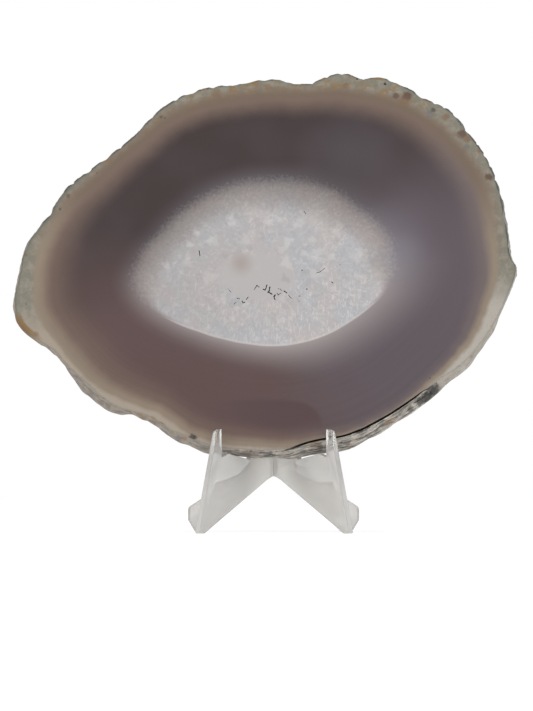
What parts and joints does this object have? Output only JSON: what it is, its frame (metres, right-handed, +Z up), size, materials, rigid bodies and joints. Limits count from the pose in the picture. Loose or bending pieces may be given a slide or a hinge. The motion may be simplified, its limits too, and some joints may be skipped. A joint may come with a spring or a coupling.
{
  "type": "agate slice on an easel",
  "caption": "Polished agate slice with a pale quartz core and a rough rim, leaning on a clear easel of crossed panels.",
  "frame": {"origin": "on the surface that the easel stands on, under the middle of the whole object", "axes": "+X across the slice to the viewer's right, +Y away from the viewer, the way the slice leans, +Z up"},
  "size_m": [0.1563, 0.0506, 0.1452],
  "materials": {
    "agate": "polished faces, rough rim",
    "clear_plastic": "clear, glossy"
  },
  "bodies": {
    "root": {"agate_slice": "agate", "easel_panel_left": "clear_plastic", "easel_panel_right": "clear_plastic"}
  },
  "joints": []
}
